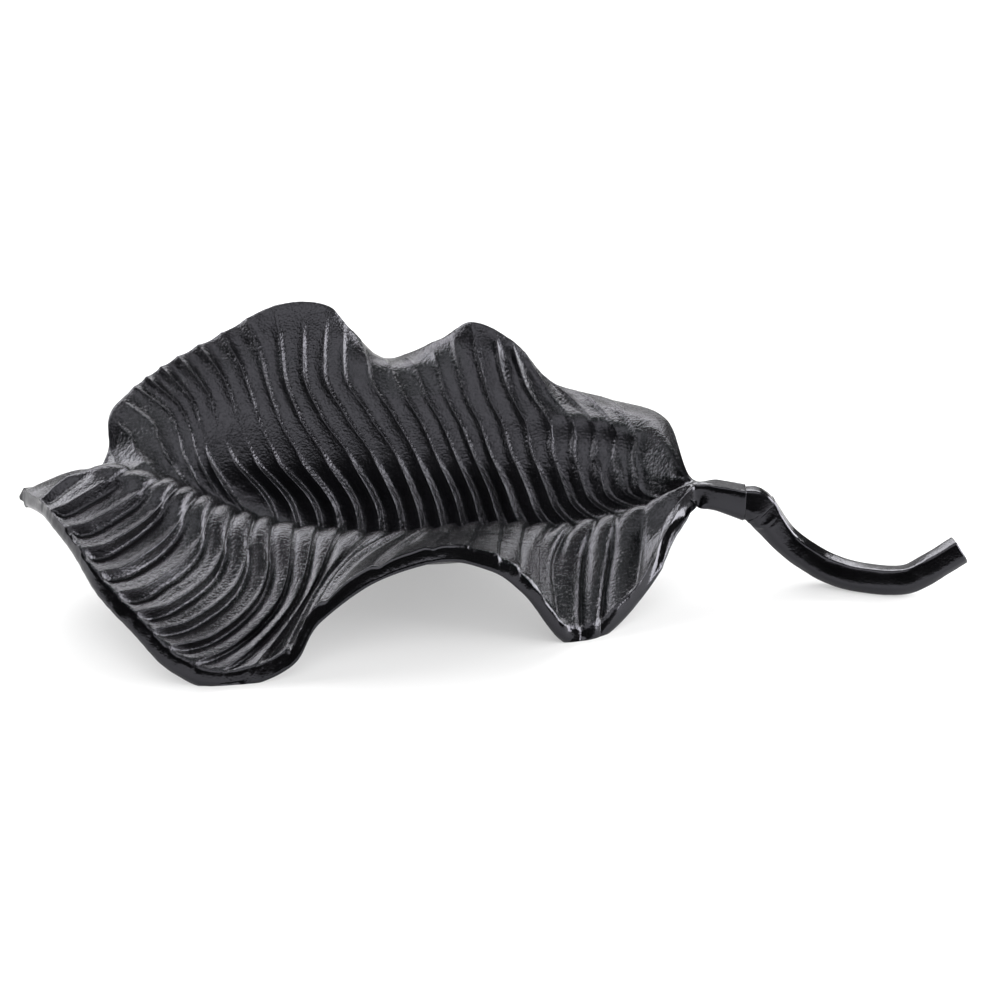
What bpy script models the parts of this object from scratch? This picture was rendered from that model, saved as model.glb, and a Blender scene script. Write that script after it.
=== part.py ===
"""Sand-cast leaf dish with a wavy rim and a welded, S-curved stem.

The leaf lies along X, from its blunt tip (-X) to the stem (+X). +Y is the tall back wall and -Y the
front wall, whose two lobes stand on the table at Z = 0. The shape is laid out in millimetres; the
meshes are made in metres, with the origin on the table below the centre of the whole dish.
"""

import bpy
import numpy as np

MM = 0.001

# The blade and the start of the stem are one casting, fluted between the veins on its top face.
FLUTE_DEPTH = 1.8  # from the crest of a vein to the channel beside it
FLUTE_STEPS = 3  # mesh steps from one vein to the next
VEIN_STEPS = 18  # mesh steps along a vein, front rim to back rim
FLAT_EDGES = (-0.96, -0.04, 0.012)  # mesh lines beside the flats ground under the lobes and the keel
FLUTES_FROM, FLUTES_TO = 0.5, 28.5  # vein numbers between which there are channels
FADE = 2.0  # veins over which the channels deepen from nothing

# Thickness of the casting at a vein number: an even blade that grows into a bar.
THICKNESS = [(0, 6.0), (27, 6.0), (29, 10.5), (30, 12.0), (31, 14.5)]

FRONT_UPRIGHT = 2.0  # how far the edge of the front rim stands upright instead of square to the blade
FRONT_THICKER = 0.35  # how much thicker the front rim is than the blade behind it

# Long curves of the blade's top face, front to back, each as (vein number, x, y, z) and only at the
# veins that its shape needs. The veins cross them, numbered from the tip.
# The lower edge of the front wall: two lobes with an arch between them.
FRONT_RIM = [
    (1, -202, -46, 54), (2, -196, -56, 53), (3, -188, -67, 49.5), (5, -173, -89, 38.5),
    (7, -156, -105, 27.5), (9.5, -138, -115, 13), (11.5, -119, -116, 5.5), (13.5, -91, -109, 12.5),
    (15, -78, -99, 29.5), (16, -56, -90, 43.5), (17, -32, -84, 50.5), (19, -1, -79, 44.5),
    (20.6, 14, -77, 31.5), (22.5, 32, -77, 7), (24.3, 46, -72, 6), (26, 61, -58, 16),
    (27.2, 70, -46, 27), (28.2, 76, -30, 39),
]
# Halfway down from the hump to the front rim.
FRONT_FALL = [
    (1, -193, -40, 62), (3, -165, -52, 57), (5, -147, -62, 44), (7, -126, -72, 33),
    (9.5, -101, -74, 21), (11.5, -87, -72, 19), (13.5, -76, -64, 24), (15, -63, -58, 33.5),
    (17, -25, -50, 40), (19, 0, -48, 40), (20.6, 15, -46, 35), (22.5, 30, -45, 22),
    (24.3, 50, -41, 24), (26, 65, -34, 27), (27.6, 80, -25, 37),
]
# The top of the front wall, over which the leaf turns down to its lobes.
FRONT_HUMP = [
    (1, -183, -32, 65), (3, -151, -34, 62), (5, -133, -34, 54), (7, -117, -32, 44),
    (9.5, -96, -30, 37), (13.5, -57, -25, 30), (19, 2, -21, 33), (22.5, 37, -20, 32),
    (26, 67, -17, 39), (27.6, 80, -15, 45),
]
# The fold along the middle of the leaf, which is also the keel it rests on.
CREASE = [
    (1, -188, -15, 51), (2, -170, -8, 50), (3, -153, -4, 45), (5, -132, 0, 34), (7, -113, 2, 23),
    (9.5, -91, 4.5, 12), (11.5, -73, 5, 5.8), (13.5, -54, 5.5, 4.5), (15, -37, 5.5, 4.5),
    (17, -15, 5.5, 5.8), (20.6, 24, 2, 15), (24.3, 58, -2, 27), (27.6, 82, -7, 39),
]
# Where the steep foot of the back wall eases.
BACK_FOOT = [
    (1, -186, -6, 47), (3, -159, 5, 50), (5, -141, 13, 47), (7, -129, 16, 44), (9.5, -108, 20, 42),
    (13.5, -66, 22, 41), (19, -3, 21, 42), (22.5, 32, 18, 43), (26, 66, 9, 45), (27.6, 77, 2, 46),
]
# Where the back wall steepens again towards its rim.
BACK_SHOULDER = [
    (1, -186, 2, 42), (2, -175, 9, 47), (3, -167, 14, 55), (5, -150, 25, 62), (7, -139, 31, 65),
    (9.5, -118, 38, 71), (13.5, -81, 41, 70), (17, -43, 42, 68), (20.6, -5, 41, 69),
    (22.5, 19, 37, 66), (24.3, 38, 37, 63), (26, 56, 30, 62), (27.6, 75, 18, 58),
]
# The upper edge of the back wall: two peaks with a dip between them.
BACK_RIM = [
    (1, -188, 8, 40), (2, -179, 17, 49), (3, -179, 24, 61), (5, -171, 37, 70), (7, -157, 46, 79),
    (9.5, -130, 57, 91), (11.5, -102, 64, 103), (13.5, -78, 65, 102), (15, -68, 64, 91),
    (17, -52, 68, 74), (19, -26, 64, 86), (20.6, -12, 60, 96), (22.5, 9, 57, 87),
    (24.3, 26, 54, 68), (26, 52, 49, 62), (27.6, 79, 34, 58),
]
LONG_CURVES = [FRONT_RIM, FRONT_FALL, FRONT_HUMP, CREASE, BACK_FOOT, BACK_SHOULDER, BACK_RIM]
# Where the leaf is narrow it is level across: number, X, front Y, back Y and Z.
NARROW = [
    (0, -212, -28, -22, 50), (29, 89, -14, -4, 46), (30, 100, -15, -5, 46), (31, 113, -16, -6, 44),
]

# The stem: a bar whose middle follows these points, with one section (across, up) all along but
# taller at its first end, which is cut on a slant where it joins the casting.
STEM_PATH = [
    (119.6, -12, 34.2), (124.5, -12, 27.8), (133, -13.5, 18), (143, -17.5, 11.6), (154, -22, 7.6),
    (165, -25.5, 6.1), (178, -28.5, 6.1), (187, -30, 7.9), (196, -30, 13.3), (209, -27, 20.9),
]
STEM_FIRST_HEIGHT = 1.28  # times the height of the section
STEM_STEPS = 5  # mesh steps from one point of the path to the next
STEM_SECTION = [
    (-2.0, 6.2), (3.6, 6.2), (5.0, 5.2), (5.4, 0.0), (4.2, -5.6), (3.2, -6.2),
    (-3.0, -6.2), (-4.0, -5.6), (-5.6, -1.8), (-2.9, 5.6),
]

# The weld: a wedge that fills the joint, wide at the top and thin below, and a little proud of it.
# Centre, the way it faces, and its width and height as multiples of the stem's section.
WELD_GAP = 0.2
WELD_RINGS = [
    ((113, -11, 36.9), (1, 0, 0), (0.92, 1.0)),
    ((117.2, -11.4, 36.4), (1, 0, -0.57), (1.04, 1.06)),
    ((120.3, -12, 34.7), None, (1.0, 1.14)),
]


def curve(knots, rows, at):
    """A smooth curve through rows[k] at knots[k], read at every value of `at`."""
    knots, rows, at = np.asarray(knots, float), np.asarray(rows, float), np.asarray(at, float)
    shape = (-1,) + (1,) * (rows.ndim - 1)
    step = np.diff(knots)
    rise = np.diff(rows, axis=0) / step.reshape(shape)
    slope = np.empty_like(rows)
    before, after = step[:-1].reshape(shape), step[1:].reshape(shape)
    slope[1:-1] = (rise[:-1] * after + rise[1:] * before) / (before + after)
    slope[0] = 1.5 * rise[0] - 0.5 * slope[1]
    slope[-1] = 1.5 * rise[-1] - 0.5 * slope[-2]
    k = np.clip(np.searchsorted(knots, at, side="right") - 1, 0, len(step) - 1)
    width = step[k].reshape(shape)
    u = (at - knots[k]).reshape(shape) / width
    ends = (2 * u**3 - 3 * u**2 + 1) * rows[k] + (3 * u**2 - 2 * u**3) * rows[k + 1]
    bends = (u**3 - 2 * u**2 + u) * slope[k] + (u**3 - u**2) * slope[k + 1]
    return ends + bends * width


def unit(vectors):
    return vectors / np.linalg.norm(vectors, axis=-1, keepdims=True)


def ramp(values, start, end):
    """0 before start, 1 after end, and smooth between."""
    u = np.clip((values - start) / (end - start), 0.0, 1.0)
    return u * u * (3 - 2 * u)


def long_curve(index, points, along):
    """One long curve of the blade, run on through the narrow places at both ends of the leaf."""
    share = index / (len(LONG_CURVES) - 1)
    ends = [(number, x, front + share * (back - front), z) for number, x, front, back, z in NARROW]
    points = np.array(sorted(points + ends), float)
    return curve(points[:, 0], points[:, 1:], along)


def blade_grid(along, across):
    """Points and upward normals of the unfluted top face: rows along the leaf, columns across."""
    long_curves = [long_curve(i, points, along) for i, points in enumerate(LONG_CURVES)]
    points = curve(np.linspace(-1, 1, len(LONG_CURVES)), long_curves, across).transpose(1, 0, 2)
    lengthwise = np.gradient(points, along, axis=0)
    crosswise = np.gradient(points, across, axis=1)
    return points, unit(np.cross(lengthwise, crosswise))


def flute(along, across):
    """Depth of the channels below the crests of the veins."""
    channel = np.sin(np.pi * (along % 1.0))
    present = ramp(along, FLUTES_FROM, FLUTES_FROM + FADE) * (1 - ramp(along, FLUTES_TO - FADE, FLUTES_TO))
    crease = 1 - 0.6 * np.exp(-((across / 0.08) ** 2))
    return FLUTE_DEPTH * np.outer(channel * present, crease)


def sheet_mesh(top, bottom):
    """Close two matching grids of points into one body."""
    rows, columns = top.shape[:2]
    ids = np.arange(rows * columns).reshape(rows, columns)
    low = ids + rows * columns

    def quads(a, b, c, d):
        return np.stack([a, b, c, d], -1).reshape(-1, 4).tolist()

    faces = quads(ids[:-1, :-1], ids[1:, :-1], ids[1:, 1:], ids[:-1, 1:])
    faces += quads(low[:-1, :-1], low[:-1, 1:], low[1:, 1:], low[1:, :-1])
    faces += quads(ids[:-1, 0], low[:-1, 0], low[1:, 0], ids[1:, 0])
    faces += quads(ids[:-1, -1], ids[1:, -1], low[1:, -1], low[:-1, -1])
    faces += quads(ids[0, :-1], ids[0, 1:], low[0, 1:], low[0, :-1])
    faces += quads(ids[-1, :-1], low[-1, :-1], low[-1, 1:], ids[-1, 1:])
    return np.vstack([top.reshape(-1, 3), bottom.reshape(-1, 3)]), faces


def leaf_casting():
    last = NARROW[-1][0]
    along = np.linspace(0, last, last * FLUTE_STEPS + 1)
    across = np.linspace(-1, 1, VEIN_STEPS + 1)
    across = np.sort(np.append(across[across != 0], FLAT_EDGES))
    base, normal = blade_grid(along, across)
    top = base - flute(along, across)[..., None] * normal
    thickness = np.interp(along, *zip(*THICKNESS))[:, None, None]
    upright = FRONT_UPRIGHT * ramp(-across, 0.5, 1.0)[None, :, None]
    free = 1 - ramp(along, NARROW[0][0] + 26, NARROW[1][0])[:, None, None]
    thickness = thickness * (1 + FRONT_THICKER * free * ramp(-across, 0.8, 1.0)[None, :, None])
    bottom = base - thickness * unit(normal + upright * np.array([0, 0, 1]))
    bottom[..., 2] = np.maximum(bottom[..., 2], 0.0)  # ground flat where it stands
    return sheet_mesh(top, bottom)


def bar(centres, forwards, scales):
    """A bar with the stem's section, scaled (across, up), facing forwards[k] at centres[k]."""
    forwards = unit(np.asarray(forwards, float))
    back = unit(np.cross((0, 0, 1), forwards))
    up = np.cross(forwards, back)
    sections = np.asarray(STEM_SECTION, float) * np.asarray(scales, float)[:, None]
    rings = sections[..., :1] * back[:, None] + sections[..., 1:] * up[:, None]
    rings += np.asarray(centres, float)[:, None]
    count, size = rings.shape[:2]
    faces = [list(range(size))]
    for start in range(0, (count - 1) * size, size):
        for j in range(size):
            a, b = start + j, start + (j + 1) % size
            faces.append([b, a, a + size, b + size])
    faces.append(list(range(count * size - 1, (count - 1) * size - 1, -1)))
    return rings.reshape(-1, 3), faces


def stem_line():
    """Centres along the stem and the way it runs at each."""
    knots = np.arange(len(STEM_PATH))
    at = np.linspace(0, knots[-1], knots[-1] * STEM_STEPS + 1)
    centres = curve(knots, STEM_PATH, at)
    return centres, unit(np.gradient(centres, axis=0))


def stem():
    centres, forwards = stem_line()
    height = 1 + (STEM_FIRST_HEIGHT - 1) * (1 - ramp(np.arange(len(centres)), 0, 2 * STEM_STEPS))
    points, faces = bar(centres, forwards, np.stack([np.ones(len(centres)), height], -1))
    points[:, 2] = np.maximum(points[:, 2], 0.0)  # ground flat where it lies on the table
    return points, faces


def stem_weld():
    first = stem_line()[1][0]
    centres, forwards, scales = zip(*WELD_RINGS)
    forwards = unit(np.array([first if way is None else way for way in forwards], float))
    centres = np.array(centres, float)
    centres[0] += WELD_GAP * forwards[0]
    centres[-1] -= WELD_GAP * forwards[-1]
    return bar(centres, forwards, scales)


def add_part(name, mesh, shift, material):
    points, faces = mesh
    data = bpy.data.meshes.new(name)
    data.from_pydata(((points + shift) * MM).tolist(), [], faces)
    data.materials.append(material)
    part = bpy.data.objects.new(name, data)
    bpy.context.collection.objects.link(part)


def coat(name, colour, metallic, roughness):
    material = bpy.data.materials.new(name)
    material.use_nodes = True
    shader = material.node_tree.nodes["Principled BSDF"]
    shader.inputs["Base Color"].default_value = (*colour, 1.0)
    shader.inputs["Metallic"].default_value = metallic
    shader.inputs["Roughness"].default_value = roughness
    return material


def main():
    for item in list(bpy.data.objects):
        bpy.data.objects.remove(item)
    parts = {"leaf_casting": leaf_casting(), "stem": stem(), "stem_weld": stem_weld()}
    points = np.vstack([mesh[0] for mesh in parts.values()])
    low, high = points.min(0), points.max(0)
    shift = np.array([-(low[0] + high[0]) / 2, -(low[1] + high[1]) / 2, 0.0])
    coats = {
        "leaf_casting": coat("leaf_coat", (0.030, 0.030, 0.033), 0.0, 0.40),
        "stem": coat("stem_coat", (0.020, 0.020, 0.022), 0.0, 0.32),
        "stem_weld": coat("weld_coat", (0.024, 0.024, 0.026), 0.0, 0.36),
    }
    for name, mesh in parts.items():
        add_part(name, mesh, shift, coats[name])


main()
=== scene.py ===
"""Looks of the cast leaf dish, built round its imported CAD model.

The leaf, the stem and the weld are each replaced by a finer mesh of the same shape: the leaf gets its
rounded channels, fingers and ragged rim, and all three the skin of a black-coated sand casting.
Shapes are laid out in millimetres, in part.py's own layout, and moved into the CAD's frame.
"""

import math

import bpy
import numpy as np
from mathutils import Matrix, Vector, noise


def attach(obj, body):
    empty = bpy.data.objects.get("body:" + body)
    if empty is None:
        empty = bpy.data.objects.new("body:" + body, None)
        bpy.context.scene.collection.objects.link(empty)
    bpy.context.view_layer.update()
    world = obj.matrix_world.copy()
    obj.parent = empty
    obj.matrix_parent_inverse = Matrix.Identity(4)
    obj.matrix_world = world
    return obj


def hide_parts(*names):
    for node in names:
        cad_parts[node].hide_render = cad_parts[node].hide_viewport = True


MM = 0.001

# Camera: looks along +Y from 26 degrees above the table.
CAMERA_ELEVATION = math.radians(26)
CAMERA_DISTANCE = 1.5
CAMERA_LENS = 120  # mm, on a 36 mm sensor
CAMERA_TARGET = Vector((0.0027, 0.0023, 0.0430))

# The casting, as in part.py.
FRONT_UPRIGHT = 2.0  # how far the edge of the front rim stands upright instead of square to the blade
FRONT_THICKER = 0.35  # how much thicker the front rim is than the blade behind it
THICKNESS = [(0, 6.0), (27, 6.0), (29, 10.5), (30, 12.0), (31, 14.5)]
# Long curves of the blade's top face, front to back, each as (vein number, x, y, z) and only at the
# veins that its shape needs. The veins cross them, numbered from the tip.
# The lower edge of the front wall: two lobes with an arch between them.
FRONT_RIM = [
    (1, -202, -46, 54), (2, -196, -56, 53), (3, -188, -67, 49.5), (5, -173, -89, 38.5),
    (7, -156, -105, 27.5), (9.5, -138, -115, 13), (11.5, -119, -116, 5.5), (13.5, -91, -109, 12.5),
    (15, -78, -99, 29.5), (16, -56, -90, 43.5), (17, -32, -84, 50.5), (19, -1, -79, 44.5),
    (20.6, 14, -77, 31.5), (22.5, 32, -77, 7), (24.3, 46, -72, 6), (26, 61, -58, 16),
    (27.2, 70, -46, 27), (28.2, 76, -30, 39),
]
# Halfway down from the hump to the front rim.
FRONT_FALL = [
    (1, -193, -40, 62), (3, -165, -52, 57), (5, -147, -62, 44), (7, -126, -72, 33),
    (9.5, -101, -74, 21), (11.5, -87, -72, 19), (13.5, -76, -64, 24), (15, -63, -58, 33.5),
    (17, -25, -50, 40), (19, 0, -48, 40), (20.6, 15, -46, 35), (22.5, 30, -45, 22),
    (24.3, 50, -41, 24), (26, 65, -34, 27), (27.6, 80, -25, 37),
]
# The top of the front wall, over which the leaf turns down to its lobes.
FRONT_HUMP = [
    (1, -183, -32, 65), (3, -151, -34, 62), (5, -133, -34, 54), (7, -117, -32, 44),
    (9.5, -96, -30, 37), (13.5, -57, -25, 30), (19, 2, -21, 33), (22.5, 37, -20, 32),
    (26, 67, -17, 39), (27.6, 80, -15, 45),
]
# The fold along the middle of the leaf, which is also the keel it rests on.
CREASE = [
    (1, -188, -15, 51), (2, -170, -8, 50), (3, -153, -4, 45), (5, -132, 0, 34), (7, -113, 2, 23),
    (9.5, -91, 4.5, 12), (11.5, -73, 5, 5.8), (13.5, -54, 5.5, 4.5), (15, -37, 5.5, 4.5),
    (17, -15, 5.5, 5.8), (20.6, 24, 2, 15), (24.3, 58, -2, 27), (27.6, 82, -7, 39),
]
# Where the steep foot of the back wall eases.
BACK_FOOT = [
    (1, -186, -6, 47), (3, -159, 5, 50), (5, -141, 13, 47), (7, -129, 16, 44), (9.5, -108, 20, 42),
    (13.5, -66, 22, 41), (19, -3, 21, 42), (22.5, 32, 18, 43), (26, 66, 9, 45), (27.6, 77, 2, 46),
]
# Where the back wall steepens again towards its rim.
BACK_SHOULDER = [
    (1, -186, 2, 42), (2, -175, 9, 47), (3, -167, 14, 55), (5, -150, 25, 62), (7, -139, 31, 65),
    (9.5, -118, 38, 71), (13.5, -81, 41, 70), (17, -43, 42, 68), (20.6, -5, 41, 69),
    (22.5, 19, 37, 66), (24.3, 38, 37, 63), (26, 56, 30, 62), (27.6, 75, 18, 58),
]
# The upper edge of the back wall: two peaks with a dip between them.
BACK_RIM = [
    (1, -188, 8, 40), (2, -179, 17, 49), (3, -179, 24, 61), (5, -171, 37, 70), (7, -157, 46, 79),
    (9.5, -130, 57, 91), (11.5, -102, 64, 103), (13.5, -78, 65, 102), (15, -68, 64, 91),
    (17, -52, 68, 74), (19, -26, 64, 86), (20.6, -12, 60, 96), (22.5, 9, 57, 87),
    (24.3, 26, 54, 68), (26, 52, 49, 62), (27.6, 79, 34, 58),
]
LONG_CURVES = [FRONT_RIM, FRONT_FALL, FRONT_HUMP, CREASE, BACK_FOOT, BACK_SHOULDER, BACK_RIM]
# Where the leaf is narrow it is level across: number, X, front Y, back Y and Z.
NARROW = [
    (0, -212, -28, -22, 50), (29, 89, -14, -4, 46), (30, 100, -15, -5, 46), (31, 113, -16, -6, 44),
]

# The stem: a bar whose middle follows these points, with one section (across, up) all along but
# taller at its first end, which is cut on a slant where it joins the casting.
STEM_PATH = [
    (119.6, -12, 34.2), (124.5, -12, 27.8), (133, -13.5, 18), (143, -17.5, 11.6), (154, -22, 7.6),
    (165, -25.5, 6.1), (178, -28.5, 6.1), (187, -30, 7.9), (196, -30, 13.3), (209, -27, 20.9),
]
STEM_FIRST_HEIGHT = 1.28  # times the height of the section
CAD_STEM_STEPS = 5  # mesh steps from one point of the path to the next in the CAD, and here
STEM_STEPS = 18
STEM_SECTION = [
    (-2.0, 6.2), (3.6, 6.2), (5.0, 5.2), (5.4, 0.0), (4.2, -5.6), (3.2, -6.2),
    (-3.0, -6.2), (-4.0, -5.6), (-5.6, -1.8), (-2.9, 5.6),
]

# The weld, from the end of the casting to the first of the stem: middles of its rings, and their
# sizes (across, up) as shares of the stem's section.
WELD_PATH = [(111.6, -10.9, 36.6), (116.4, -11.4, 36.3), (120.6, -12.1, 32.9)]
WELD_SIZES = [(0.93, 1.12), (0.99, 1.2), (1.0, STEM_FIRST_HEIGHT)]
WELD_STEPS = 18
# The rough lump of weld metal on the front of the stem's first bend.
WELD_LUMP_AT = np.array([121, -18, 28])
WELD_LUMP_SIZE = np.array([4.0, 4.0, 3.2])

# Crests that stray from their vein's number, at places across the leaf from the front rim (-1) to the
# back rim (1): each as (vein number, how many veins nearer to the stem its crest lies).
STRAY = [
    (-1.0, [(2, -0.2), (9, -0.25), (10.5, 0.3), (12.5, 0.5), (15, 0), (24, 0.3), (25, 1.0), (26, 1.8)]),
    (-0.87, [(2, 0), (8, 0.12), (10, 0.45), (12, 0.45), (15, 0), (24, 0.3), (25, 1.0), (26, 1.8)]),
    (-0.6, [(2, 0.05), (12, 0.05), (22, 0.15), (24, 0.4), (25, 1.0), (26, 1.8)]),
    (-0.1, [(2, 0.1), (22, 0.15), (24, 0.4), (25, 0.9), (26, 1.5)]),
    (0.18, [
        (3.8, -0.1), (7, -0.5), (8, 0.7), (10, 1.05), (13, 0.85), (17, 0.1), (20, -0.7), (27, -1.5),
    ]),
    (0.35, [
        (4, -0.2), (7, -0.4), (8, 0.1), (13, 0.45), (15, 0.35), (18, -0.35), (20, -0.85), (27, -1.2),
    ]),
    (0.55, [(4, -0.1), (8, -0.2), (14, 0.15), (17, 0), (20, -0.4), (27, -0.45)]),
    (0.75, [
        (5, 0.3), (8, 0), (12, -0.25), (15, -0.4), (18, 0), (21, -0.3), (23, -0.75), (27, -0.7),
    ]),
    (1.0, [
        (5, 0.5), (8, -0.1), (11, -0.5), (14, -0.5), (18, -0.3), (22, -0.4), (24, -1.05), (27, -1.0),
    ]),
]

# Mesh steps within each vein's width, closest at its crest, and from the crease to either rim.
WIDTH_STEPS = (0, 0.035, 0.08, 0.13, 0.19, 0.26, 0.35, 0.46, 0.58, 0.7, 0.81, 0.9, 0.96)
TOP_STEPS = 70
BOTTOM_STEPS = 18
# The close grid that the blade is worked out on: steps to a vein, and steps from rim to rim.
GRID_PER_VEIN = 24
GRID_ACROSS = 400

# Section of the rims, top to bottom, as (mm out from the edge, share of the thickness). The front rim
# leans back by about 20 degrees, but is steeper where it faces sideways.
FRONT_SECTION = [
    (-2.9, 0.0), (-2.5, 0.05), (-1.9, 0.25), (-1.1, 0.5), (-0.35, 0.75), (0.2, 0.93), (-0.8, 1.0),
]
SIDE_SECTION = [
    (-1.6, 0.0), (-1.1, 0.05), (-0.6, 0.25), (-0.2, 0.5), (0.1, 0.75), (-0.2, 0.93), (-1.2, 1.0),
]
BACK_SECTION = [(-0.7, 0.0), (-0.3, 0.08), (0.0, 0.3), (0.0, 0.65), (-0.3, 0.85), (-1.0, 1.0)]
RIM_UPRIGHT = 0.8  # how nearly the upper half of the front rim's section stands upright
RAGGED = 0.9  # mm that the front rim's upper edge wanders in and out
CHIPS = 5.0  # mm, the depth of the chips in it over the arch
TOP_INSETS = (0.5, 4.6)  # mm, the least and most that the top face ends short of the front edge
BACK_INSETS = (0.3, 1.6)

# Depth along a vein's width, crest to crest: (share of the width, share of the depth).
SHINGLE = [
    (0, 0), (0.05, 0.2), (0.2, 0.85), (0.27, 1.0), (0.33, 0.97), (0.42, 0.72), (0.52, 0.5),
    (0.66, 0.36), (0.84, 0.27), (0.93, 0.16), (1, 0),
]
STEP = [(0, 0), (0.04, 0.3), (0.13, 0.9), (0.19, 1.0), (0.3, 0.7), (0.55, 0.28), (0.85, 0.03), (1, 0)]
FINGER = [
    (0, 0.8), (0.05, 1.0), (0.1, 0.92), (0.2, 0.5), (0.36, 0.13), (0.56, 0), (0.76, 0.09),
    (0.9, 0.4), (1, 0.8),
]
PLEAT = [
    (0, 1.0), (0.04, 0.9), (0.12, 0.6), (0.22, 0.32), (0.36, 0.09), (0.55, 0), (0.75, 0.13),
    (0.88, 0.45), (0.96, 0.85), (1, 1.0),
]
FOOT = [(0, 0), (0.06, 0.2), (0.26, 0.95), (0.34, 1.0), (0.5, 0.82), (0.75, 0.4), (0.93, 0.06), (1, 0)]
LINE = [
    (0, 0), (0.05, 0.3), (0.16, 0.82), (0.3, 1.0), (0.5, 0.97), (0.7, 0.8), (0.86, 0.5),
    (0.95, 0.18), (1, 0),
]

# Depths of the channels in mm. Over the front wall's top they are shallower by the second number.
LEFT_LOBE_DEPTH = (4.8, 2.1)
RIGHT_LOBE_DEPTH = (3.2, 1.2)
ARCH_DEPTH = 2.6
WALL_DEPTH = 1.1
FOOT_DEPTH = 1.9  # added to the wall's at the foot
LOW_WALL_DEPTH = 0.7  # added low on the right half of the wall
CURL_DEPTH = 2.2  # of the scallops along the back rim near the tip

# Places on the leaf, as (amount in mm, (vein number, place across), (size along, size across)):
# broad rolls that the long curves leave out, and deeper channels in the back wall.
SWELLS = [(3.2, (17.4, 0.86), (2.1, 0.1)), (2.6, (24.8, 0.57), (2.2, 0.07))]
DEEPER = [(1.8, (22.6, 0.86), (1.3, 0.2)), (1.0, (12.6, 0.72), (1.5, 0.14))]
FADED = [(0.95, (7.8, 0.5), (2.6, 0.10))]  # here the amount is a share of the depth
SCAR = [(1.1, (6.5, -0.8), (0.25, 0.06))]

# Unevenness of the casting, as (height in mm, width of a lump in mm, seed).
LEAF_LUMPS = [(0.35, 26, 1), (0.12, 4.0, 5), (0.08, 1.6, 6)]
PITS = [(0.45, 2.6, 7)]
EDGE_LUMPS = [(0.35, 2.2, 10)]
RIM_LUMPS = [(0.2, 3.0, 33)]
STEM_LUMPS = [(0.35, 11, 11), (0.08, 3, 12)]
WELD_LUMPS = [(0.3, 3.2, 21)]

# Patterns of the coat, each as the number of its cells to a metre.
SAND_SCALE = 1250.0
PEBBLE_SCALE = 850.0
LUMP_SCALE = 320.0
CLOUD_SCALE = 70.0
COAT_TINT = (0.90, 0.89, 1.0, 1.0)  # of its reflections, a little blue
RIM_SMOOTHER = 0.1  # how much less rough the rims are

# Softboxes: name, place, the point it faces, size, and brightness as a multiple of a plain white.
SOFTBOXES = [
    ("front_box", (-0.05, -1.04, 1.62), (-0.05, 0, 0.05), (1.9, 1.7), 2.1),
    ("overhead_box", (0.0, 0.12, 0.9), (0, 0, 0.05), (0.7, 0.4), 0.3),
    ("back_top_box", (-0.05, 0.86, 0.78), (0, 0, 0.05), (1.3, 0.36), 8.5),
    ("back_box", (0.0, 1.3, 0.4), (0, 0, 0.1), (1.1, 0.6), 1.0),
    ("right_box", (1.05, 0.1, 0.35), (0, 0.05, 0.1), (1.4, 0.6), 12.5),
    ("left_box", (-1.0, 0.4, 0.5), (0, 0.05, 0.1), (0.8, 0.7), 8.0),
    ("left_top_box", (-0.56, 0.4, 0.75), (0, 0, 0.05), (0.5, 0.5), 5.0),
]
DARK_ROOM = 0.02  # brightness of everything else round the dish
FLOOR_HALF = 3.0  # m
FLOOR_GREY = 0.45
FLOOR_GLOW = 0.42  # light of its own, which keeps it nearly white


def curve(knots, rows, at):
    """A smooth curve through rows[k] at knots[k], read at every value of `at`."""
    knots, rows, at = np.asarray(knots, float), np.asarray(rows, float), np.asarray(at, float)
    shape = (-1,) + (1,) * (rows.ndim - 1)
    step = np.diff(knots)
    rise = np.diff(rows, axis=0) / step.reshape(shape)
    slope = np.empty_like(rows)
    before, after = step[:-1].reshape(shape), step[1:].reshape(shape)
    slope[1:-1] = (rise[:-1] * after + rise[1:] * before) / (before + after)
    slope[0] = 1.5 * rise[0] - 0.5 * slope[1]
    slope[-1] = 1.5 * rise[-1] - 0.5 * slope[-2]
    k = np.clip(np.searchsorted(knots, at, side="right") - 1, 0, len(step) - 1)
    width = step[k].reshape(shape)
    u = (at - knots[k]).reshape(shape) / width
    ends = (2 * u**3 - 3 * u**2 + 1) * rows[k] + (3 * u**2 - 2 * u**3) * rows[k + 1]
    bends = (u**3 - 2 * u**2 + u) * slope[k] + (u**3 - u**2) * slope[k + 1]
    return ends + bends * width


def unit(vectors):
    return vectors / np.linalg.norm(vectors, axis=-1, keepdims=True)


def ramp(values, start, end):
    """0 before start, 1 after end, and smooth between."""
    u = np.clip((values - start) / (end - start), 0.0, 1.0)
    return u * u * (3 - 2 * u)


def profile(points, share):
    return np.interp(share, *zip(*points))


def noise_at(points, size, seed):
    """Smooth noise from -1 to 1 with lumps about `size` wide."""
    offset = Vector((seed * 17.3, seed * 5.1, seed * 9.7))
    flat = (np.asarray(points, float).reshape(-1, 3) / size).tolist()
    values = [noise.noise(Vector(p) + offset) for p in flat]
    return np.array(values).reshape(np.shape(points)[:-1])


def lumps(table, points):
    return sum(height * noise_at(points, width, seed) for height, width, seed in table)


def mixed(one, other, share):
    return (1 - share) * np.asarray(one) + share * np.asarray(other)


def spots(table, vein, across):
    """The amount at the middle of each place in the table, falling smoothly to 0 round it."""
    total = 0.0
    for amount, centre, size in table:
        far = ((vein - centre[0]) / size[0]) ** 2 + ((across - centre[1]) / size[1]) ** 2
        total = total + amount * np.exp(-far)
    return total


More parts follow.
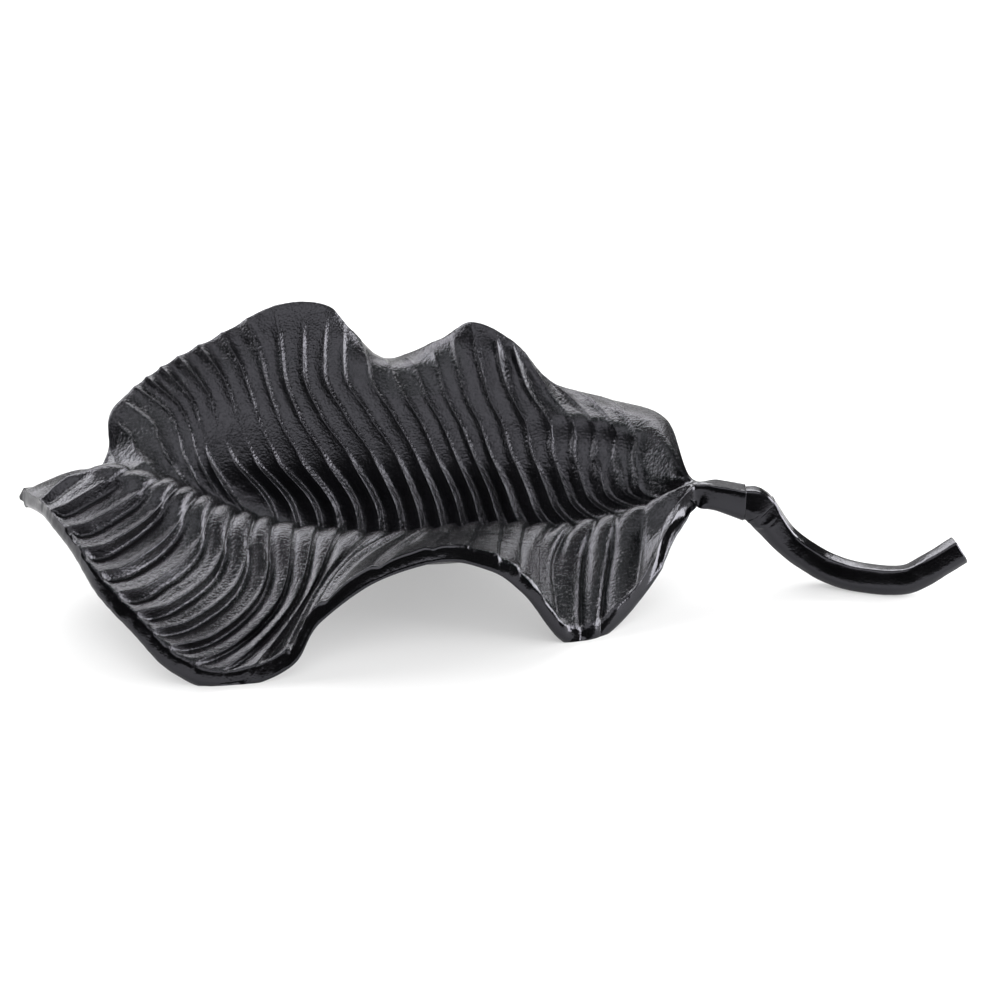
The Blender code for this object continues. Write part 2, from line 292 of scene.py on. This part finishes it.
class Blade:
    """The unfluted top face, worked out once on a close grid and read anywhere on it."""

    def __init__(self):
        self.along = np.linspace(0, NARROW[-1][0], NARROW[-1][0] * GRID_PER_VEIN + 1)
        self.across = np.linspace(-1, 1, GRID_ACROSS + 1)
        lines = [self.long_curve(i, points) for i, points in enumerate(LONG_CURVES)]
        self.points = curve(np.linspace(-1, 1, len(lines)), lines, self.across).transpose(1, 0, 2)
        lengthwise = np.gradient(self.points, self.along, axis=0)
        crosswise = np.gradient(self.points, self.across, axis=1)
        self.normals = unit(np.cross(lengthwise, crosswise))
        self.backward = unit(crosswise)
        self.widths = np.linalg.norm(np.diff(self.points, axis=1), axis=-1)

    def long_curve(self, index, points):
        """A long curve with the narrow ends of the leaf added, at its own share of their width."""
        share = index / (len(LONG_CURVES) - 1)
        ends = [(number, x, front + share * (back - front), z) for number, x, front, back, z in NARROW]
        points = np.array(sorted(points + ends), float)
        return curve(points[:, 0], points[:, 1:], self.along)

    def read(self, grid, along, across):
        """Values between the grid's points."""
        row = np.interp(along, self.along, np.arange(len(self.along)))
        column = np.interp(across, self.across, np.arange(len(self.across)))
        i = np.minimum(row.astype(int), len(self.along) - 2)
        j = np.minimum(column.astype(int), len(self.across) - 2)
        u, v = (row - i)[..., None], (column - j)[..., None]
        near = (1 - v) * grid[i, j] + v * grid[i, j + 1]
        far = (1 - v) * grid[i + 1, j] + v * grid[i + 1, j + 1]
        return (1 - u) * near + u * far

    def half_width(self, along, side):
        """Length in mm from the crease to a rim."""
        middle = len(self.across) // 2
        half = self.widths[:, middle:] if side > 0 else self.widths[:, :middle]
        return np.interp(along, self.along, half.sum(axis=1))

    def into(self, along, across):
        """The way from the top face to the bottom face."""
        upright = FRONT_UPRIGHT * ramp(-across, 0.5, 1.0)
        up = unit(self.read(self.normals, along, across))
        return -unit(up + upright[..., None] * np.array([0, 0, 1]))


def strayed(vein, across):
    """Where along the leaf each vein's crest runs, at places across it."""
    places, lines = zip(*STRAY)
    places = np.array(places)
    free_end = NARROW[-3][0]
    strays = np.stack([np.interp(vein[:, 0], *zip((0, 0), *line, (free_end, 0))) for line in lines])
    low = np.clip(np.searchsorted(places, across) - 1, 0, len(places) - 2)
    share = ramp(across, places[low], places[low + 1])
    row = np.arange(len(vein))[:, None] + 0 * low
    return vein + (1 - share) * strays[low, row] + share * strays[low + 1, row]


def thickness_at(vein, across):
    free = 1 - ramp(vein, 26, 29)
    thicker = 1 + FRONT_THICKER * free * ramp(-across, 0.8, 1.0)
    return np.interp(vein, *zip(*THICKNESS)) * thicker


def front_relief(vein, t):
    """Depth of the front wall's channels: shingles, then steps over the arch, then pleats."""
    share = vein % 1.0
    right = ramp(vein, 21.0, 22.4)
    arch = ramp(vein, 8.5, 10.5) * (1 - right)
    left = (1 - right) * (1 - arch)
    hump = ramp(-t, 0.08, 0.2) * (1 - ramp(-t, 0.42, 0.6)) * (1 - 0.8 * arch)
    shape = left * profile(SHINGLE, share) + arch * profile(STEP, share) + right * profile(PLEAT, share)
    shape = (1 - hump) * shape + hump * profile(FINGER, share)
    depth = (LEFT_LOBE_DEPTH[0] - LEFT_LOBE_DEPTH[1] * hump) * left + ARCH_DEPTH * arch
    depth += (RIGHT_LOBE_DEPTH[0] - RIGHT_LOBE_DEPTH[1] * hump) * right
    depth *= 0.6 + 0.4 * ramp(vein, 1.0, 4.0)
    depth *= 1 - ramp(-t, 0.94, 0.99)
    return shape * depth


def back_relief(vein, t):
    """Depth of the back wall's channels: cut-in feet at the fold, shallow lines above them."""
    share = vein % 1.0
    foot = (1 - ramp(t, 0.22, 0.4)) * ramp(vein, 3, 8) * (1 - 0.6 * ramp(vein, 20, 25))
    mirrored = ramp(vein, 16, 18) * ramp(t, 0.26, 0.36)
    line = (1 - mirrored) * profile(LINE, share) + mirrored * profile(LINE, 1 - share)
    shape = foot * profile(FOOT, share) + (1 - foot) * line
    low = ramp(vein, 17, 20) * (1 - foot) * (1 - ramp(t, 0.42, 0.56))
    depth = WALL_DEPTH + FOOT_DEPTH * foot + LOW_WALL_DEPTH * low
    depth = depth * (1 - spots(FADED, vein, t)) + spots(DEEPER, vein, t)
    depth *= 1 - 0.85 * ramp(t, 0.86, 0.97)
    curl = ramp(t, 0.68, 1.0) ** 2 * ramp(vein, 4, 6) * (1 - ramp(vein, 10.5, 11.5))
    return shape * depth + CURL_DEPTH * curl * np.sin(np.pi * share)


def relief(vein, t):
    """Depth in mm of the top face below its crests."""
    front, back = ramp(-t, 0.0, 0.06), ramp(t, 0.0, 0.06)
    number = np.floor(vein)
    uneven = 1 + 0.3 * noise_at(np.stack([number * 3.7, t * 4, 0 * t], -1), 1.0, 3)
    both = front * front_relief(vein, t) * (1 - ramp(vein, 24.7, 25.3))
    both += back * back_relief(vein, t) * (1 - ramp(vein, 26.5, 28.0))
    return both * uneven * ramp(vein, 0.2, 1.0)


class LeafSkin:
    """The outside of the casting: at each step along it, a ring of points round the blade."""

    def __init__(self):
        self.blade = Blade()
        last = NARROW[-1][0]
        steps = [number + share for number in range(last) for share in WIDTH_STEPS] + [last]
        self.vein = np.array(steps, float)[:, None]
        self.front_section = mixed(FRONT_SECTION, SIDE_SECTION, self.sideways()[..., None])
        self.back_section = np.broadcast_to(BACK_SECTION, (len(steps),) + np.shape(BACK_SECTION))

    def sideways(self):
        """1 where the front rim faces sideways: near the tip and on both sides of the right lobe."""
        vein = self.vein
        left_side = ramp(vein, 20, 20.8) * (1 - ramp(vein, 22, 22.6))
        return 1 - ramp(vein, 4, 6) + left_side + ramp(vein, 24.5, 25.2)

    def ragged(self):
        """How far in mm the top face's front edge wanders in, with chips over the arch."""
        vein, front = self.vein, np.full_like(self.vein, -1)
        edge = self.blade.read(self.blade.points, strayed(vein, front), front)
        over_arch = ramp(vein, 11, 13) * (1 - ramp(vein, 20, 22))
        chips = np.clip(noise_at(edge, 9.0, 32) - 0.12, 0, 1) * over_arch
        return (RAGGED * noise_at(edge, 3.2, 31) + CHIPS * chips) * (1 - ramp(vein, 24, 25.5))

    def across_half(self, share, inset, side):
        """Places from the crease (share 0) to the rim (1), which is `inset` mm short of the edge."""
        width = self.blade.half_width(self.vein, side)
        return side * share * (1 - np.minimum(inset / width, 0.45))

    def face(self, steps, front_inset, back_inset):
        share = np.linspace(0, 1, steps + 1)[None, :]
        front = self.across_half(share[:, ::-1], front_inset, -1)
        back = self.across_half(share[:, 1:], back_inset, 1)
        t = np.concatenate([front, back], axis=1)
        return strayed(self.vein, t), t

    def height(self, s, t, base):
        """Height in mm of the finished top face over the blade."""
        vein = self.vein
        height = spots(SWELLS, vein, t) - relief(vein + 0 * t, t) + lumps(LEAF_LUMPS, base)
        pitted = (1 - ramp(t, 0.18, 0.32)) * ramp(t, 0.02, 0.06)
        pitted = pitted * ramp(vein, 4, 6) * (1 - ramp(vein, 14, 18))
        near_edge = ramp(-t, 0.93, 1.0) * (1 - ramp(vein, 27, 29))
        height += pitted * lumps(PITS, base) + near_edge * lumps(EDGE_LUMPS, base)
        return height + spots(SCAR, s, t) * (0.6 + noise_at(base, 2.2, 9))

    def top(self):
        """The top face's points, and how far each was lifted off the blade."""
        ragged = self.ragged()
        front_inset = np.clip(ragged - self.front_section[:, 0, :1], *TOP_INSETS)
        back_inset = np.clip(0.3 * ragged - self.back_section[:, 0, :1], *BACK_INSETS)
        s, t = self.face(TOP_STEPS, front_inset, back_inset)
        base = self.blade.read(self.blade.points, s, t)
        lift = unit(self.blade.read(self.blade.normals, s, t)) * self.height(s, t, base)[..., None]
        return base + lift, lift

    def bottom(self):
        front_inset, back_inset = -self.front_section[:, -1, :1], -self.back_section[:, -1, :1]
        s, t = self.face(BOTTOM_STEPS, front_inset, back_inset)
        depth = thickness_at(self.vein, t)[..., None]
        return self.blade.read(self.blade.points, s, t) + self.blade.into(s, t) * depth

    def rim(self, section, side, lift):
        """The rim's points between the two faces. Its upper edge is lifted with the top face."""
        blade = self.blade
        t = np.full_like(self.vein, side)
        s = strayed(self.vein, t)
        outs, deeps = section[:, 1:-1, :1], section[:, 1:-1, 1:]
        outward = unit(side * blade.read(blade.backward, s, t) * np.array([1, 1, 0.3]))
        upright = RIM_UPRIGHT * (1 - ramp(deeps, 0.5, 1.0)) * (side < 0)
        down = unit(blade.into(s, t) * (1 - upright) - upright * np.array([0, 0, 1]))
        edge = blade.read(blade.points, s, t) + lift * (1 - deeps)
        points = edge + outs * outward + deeps * thickness_at(self.vein, t)[..., None] * down
        return points + lumps(RIM_LUMPS, points)[..., None] * outward

    def rings(self):
        """The rings' points, and which of them are smooth: those of the rims and of the stub."""
        top, lift = self.top()
        front_rim = self.rim(self.front_section, -1, lift[:, :1])
        back_rim = self.rim(self.back_section, 1, lift[:, -1:])
        parts = [top, back_rim, self.bottom()[:, ::-1], front_rim[:, ::-1]]
        is_rim = np.concatenate([np.full(p.shape[:2], float(i % 2)) for i, p in enumerate(parts)], axis=1)
        points = np.concatenate(parts, axis=1)
        points[..., 2] = np.maximum(points[..., 2], 0.0)
        return points, np.maximum(is_rim, ramp(self.vein, 27.8, 28.8))


def leaf_casting():
    points, is_rim = LeafSkin().rings()
    return ringed_mesh(points) + ({"rim": is_rim.ravel()},)


def ringed_mesh(rings):
    """A closed body from rings of points, each running the same way round."""
    rows, size = rings.shape[:2]
    ids = np.arange(rows * size).reshape(rows, size)
    after = np.roll(ids, -1, axis=1)
    faces = np.stack([ids[:-1], ids[1:], after[1:], after[:-1]], -1).reshape(-1, 4).tolist()
    return rings.reshape(-1, 3), faces + [ids[0].tolist(), ids[-1, ::-1].tolist()]


def rounded(section, rounds=2):
    """A closed outline with its corners cut off again and again, which leaves them round."""
    points = np.array(section, float)
    for _ in range(rounds):
        after = np.roll(points, -1, axis=0)
        points = np.stack([0.8 * points + 0.2 * after, 0.2 * points + 0.8 * after], 1).reshape(-1, 2)
    return points


def bar(centres, forwards, scales):
    """Rings with the stem's rounded section, scaled (across, up), facing forwards[k] at centres[k]."""
    forwards = unit(np.asarray(forwards, float))
    back = unit(np.cross((0, 0, 1), forwards))
    up = np.cross(forwards, back)
    sections = rounded(STEM_SECTION) * np.asarray(scales, float)[:, None]
    rings = sections[..., :1] * back[:, None] + sections[..., 1:] * up[:, None]
    return rings + np.asarray(centres, float)[:, None]


def swell(rings, amount):
    """Move every point out from its ring's centre by amount, in mm."""
    return rings + unit(rings - rings.mean(axis=1, keepdims=True)) * amount[..., None]


def stem_line(steps):
    """Places along the stem's path, with its middle and its direction at each."""
    knots = np.arange(len(STEM_PATH))
    at = np.linspace(0, knots[-1], knots[-1] * steps + 1)
    centres = curve(knots, STEM_PATH, at)
    return at, centres, unit(np.gradient(centres, axis=0))


def stem():
    at, centres, forwards = stem_line(STEM_STEPS)
    height = 1 + (STEM_FIRST_HEIGHT - 1) * (1 - ramp(at, 0, 2))
    rings = bar(centres, forwards, np.stack([np.ones(len(at)), height], -1))
    lump = np.exp(-(((rings - WELD_LUMP_AT) / WELD_LUMP_SIZE) ** 2).sum(-1))
    rough = lumps(STEM_LUMPS, rings) - 0.25
    rings = swell(rings, rough + lump * (0.8 + noise_at(rings, 2.2, 13)))
    rounded_end = rings[-1] + (rings[-1].mean(axis=0) - rings[-1]) * 0.1 + forwards[-1] * 0.35
    rings = np.concatenate([rings, rounded_end[None]])
    rings[..., 2] = np.maximum(rings[..., 2], 0.0)
    return ringed_mesh(rings)


def stem_weld():
    knots, steps = (0, 0.5, 1), np.linspace(0, 1, WELD_STEPS)
    ways = [(1, 0, 0), (1, 0, -0.5), stem_line(CAD_STEM_STEPS)[2][0]]
    rings = bar(curve(knots, WELD_PATH, steps), curve(knots, ways, steps), curve(knots, WELD_SIZES, steps))
    bulge = 0.5 * np.sin(np.pi * steps)[:, None] ** 0.6 - 0.35
    return ringed_mesh(swell(rings, bulge + lumps(WELD_LUMPS, rings)))


def frame_shift():
    """From part.py's layout to the CAD frame: the casting's square end is known in both."""
    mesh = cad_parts["leaf_casting"].data
    points = np.array([v.co for v in mesh.vertices]) / MM
    end = points[points[:, 0] > points[:, 0].max() - 0.01]
    _, x, front, _, _ = NARROW[-1]
    return np.array([end[0, 0] - x, end[:, 1].min() - front, 0.0])


def add_piece(name, node, mesh, material):
    """A visible piece in place of a CAD node. mesh: points, faces and any values to each point."""
    points, faces, *layers = mesh
    data = bpy.data.meshes.new(name)
    data.from_pydata(((points + shift) * MM).tolist(), [], faces)
    for layer in layers:
        for key, values in layer.items():
            attribute = data.attributes.new(key, "FLOAT", "POINT")
            attribute.data.foreach_set("value", np.asarray(values, np.float32))
    data.shade_smooth()
    data.materials.append(material)
    piece = bpy.data.objects.new(name, data)
    bpy.context.scene.collection.objects.link(piece)
    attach(piece, "root")
    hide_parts(node)


class Nodes:
    """Short calls for building a material's node tree."""

    def __init__(self, name):
        self.material = bpy.data.materials.new(name)
        self.material.use_nodes = True
        self.tree = self.material.node_tree
        self.shader = self.tree.nodes["Principled BSDF"]

    def put(self, socket, value):
        if isinstance(value, bpy.types.NodeSocket):
            self.tree.links.new(value, socket)
        else:
            socket.default_value = value

    def add(self, kind, **inputs):
        node = self.tree.nodes.new(kind)
        for key, value in inputs.items():
            self.put(node.inputs[key.replace("_", " ")], value)
        return node

    def math(self, operation, a, b):
        node = self.tree.nodes.new("ShaderNodeMath")
        node.operation = operation
        self.put(node.inputs[0], a)
        self.put(node.inputs[1], b)
        return node.outputs[0]

    def sum(self, *terms):
        """terms: (value, factor) pairs."""
        total = 0.0
        for value, factor in terms:
            total = self.math("ADD", total, self.math("MULTIPLY", value, factor))
        return total

    def attribute(self, name):
        node = self.tree.nodes.new("ShaderNodeAttribute")
        node.attribute_name = name
        return node.outputs["Fac"]


def cast_coat(name, colour, roughness, grain, grain_on_rim, lump):
    """Thin black coat over a sand-cast skin. Grain and lump are heights of the sand's print, in mm."""
    n = Nodes(name)
    place = n.tree.nodes.new("ShaderNodeTexCoord").outputs["Object"]
    rim = n.attribute("rim")
    sand = n.add("ShaderNodeTexNoise", Vector=place, Scale=SAND_SCALE, Detail=2.0, Roughness=0.6).outputs[0]
    pebble = n.add("ShaderNodeTexVoronoi", Vector=place, Scale=PEBBLE_SCALE).outputs["Distance"]
    broad = n.add("ShaderNodeTexNoise", Vector=place, Scale=LUMP_SCALE, Detail=2.0).outputs[0]
    cloud = n.add("ShaderNodeTexNoise", Vector=place, Scale=CLOUD_SCALE, Detail=4.0).outputs[0]

    amount = n.sum((1.0, grain), (rim, grain_on_rim - grain))
    fine = n.math("MULTIPLY", n.sum((sand, 1.2), (pebble, -0.8)), amount)
    height = n.sum((fine, 1.0), (broad, lump))
    bump = n.add("ShaderNodeBump", Strength=1.0, Distance=MM, Height=height)
    n.put(n.shader.inputs["Normal"], bump.outputs[0])

    rough = n.sum((cloud, 0.16), (1.0, roughness - 0.08), (rim, -RIM_SMOOTHER))
    n.put(n.shader.inputs["Roughness"], rough)
    n.put(n.shader.inputs["Base Color"], (*colour, 1.0))
    n.put(n.shader.inputs["Specular IOR Level"], 0.5)
    n.put(n.shader.inputs["Specular Tint"], COAT_TINT)
    return n.material


def floor():
    """Plain pale paper under the dish."""
    half = FLOOR_HALF
    data = bpy.data.meshes.new("floor")
    corners = [(-half, -half, 0), (half, -half, 0), (half, half, 0), (-half, half, 0)]
    data.from_pydata(corners, [], [(0, 1, 2, 3)])
    n = Nodes("floor_paper")
    n.put(n.shader.inputs["Base Color"], (FLOOR_GREY, FLOOR_GREY, FLOOR_GREY, 1))
    n.put(n.shader.inputs["Emission Color"], (1, 1, 1, 1))
    n.put(n.shader.inputs["Emission Strength"], FLOOR_GLOW)
    n.put(n.shader.inputs["Roughness"], 0.8)
    n.put(n.shader.inputs["Specular IOR Level"], 0.1)
    data.materials.append(n.material)
    piece = bpy.data.objects.new("floor", data)
    bpy.context.scene.collection.objects.link(piece)


def softbox(name, place, aim, size, brightness):
    """A rectangular light, as bright as `brightness` times a white that renders as 1."""
    light = bpy.data.lights.new(name, "AREA")
    light.shape = "RECTANGLE"
    light.size, light.size_y = size
    light.energy = brightness * math.pi * size[0] * size[1]
    lamp = bpy.data.objects.new(name, light)
    lamp.location = place
    lamp.rotation_euler = (Vector(aim) - Vector(place)).to_track_quat("-Z", "Y").to_euler()
    bpy.context.scene.collection.objects.link(lamp)


def studio():
    """Softboxes round a dark room, and colours shown as they are."""
    world = bpy.data.worlds.new("studio")
    world.use_nodes = True
    background = world.node_tree.nodes["Background"]
    background.inputs["Color"].default_value = (1, 1, 1, 1)
    background.inputs["Strength"].default_value = DARK_ROOM
    bpy.context.scene.world = world
    for box in SOFTBOXES:
        softbox(*box)
    bpy.context.scene.view_settings.view_transform = "Standard"


def camera():
    data = bpy.data.cameras.new("camera")
    data.lens = CAMERA_LENS
    data.sensor_width = 36
    looker = bpy.data.objects.new("camera", data)
    away = Vector((0, -math.cos(CAMERA_ELEVATION), math.sin(CAMERA_ELEVATION)))
    looker.location = CAMERA_TARGET + away * CAMERA_DISTANCE
    looker.rotation_euler = (-away).to_track_quat("-Z", "Y").to_euler()
    bpy.context.scene.collection.objects.link(looker)
    bpy.context.scene.camera = looker


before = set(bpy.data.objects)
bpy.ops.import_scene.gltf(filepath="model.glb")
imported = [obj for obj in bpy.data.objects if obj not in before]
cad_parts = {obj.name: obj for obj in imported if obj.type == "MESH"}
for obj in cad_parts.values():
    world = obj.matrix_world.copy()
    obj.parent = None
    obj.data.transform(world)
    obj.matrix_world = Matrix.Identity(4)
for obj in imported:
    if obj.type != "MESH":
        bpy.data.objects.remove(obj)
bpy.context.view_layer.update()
shift = frame_shift()
camera()
studio()
floor()
leaf_coat = cast_coat(
    "cast_leaf_coat", (0.0024, 0.0024, 0.0027), roughness=0.24, grain=0.19, grain_on_rim=0.03, lump=0.11
)
stem_coat = cast_coat(
    "cast_stem_coat", (0.0014, 0.0014, 0.0016), roughness=0.18, grain=0.04, grain_on_rim=0.04, lump=0.05
)
weld_coat = cast_coat(
    "cast_weld_coat", (0.0016, 0.0016, 0.0018), roughness=0.20, grain=0.04, grain_on_rim=0.04, lump=0.08
)
add_piece("leaf", "leaf_casting", leaf_casting(), leaf_coat)
add_piece("stem_bar", "stem", stem(), stem_coat)
add_piece("weld_bead", "stem_weld", stem_weld(), weld_coat)
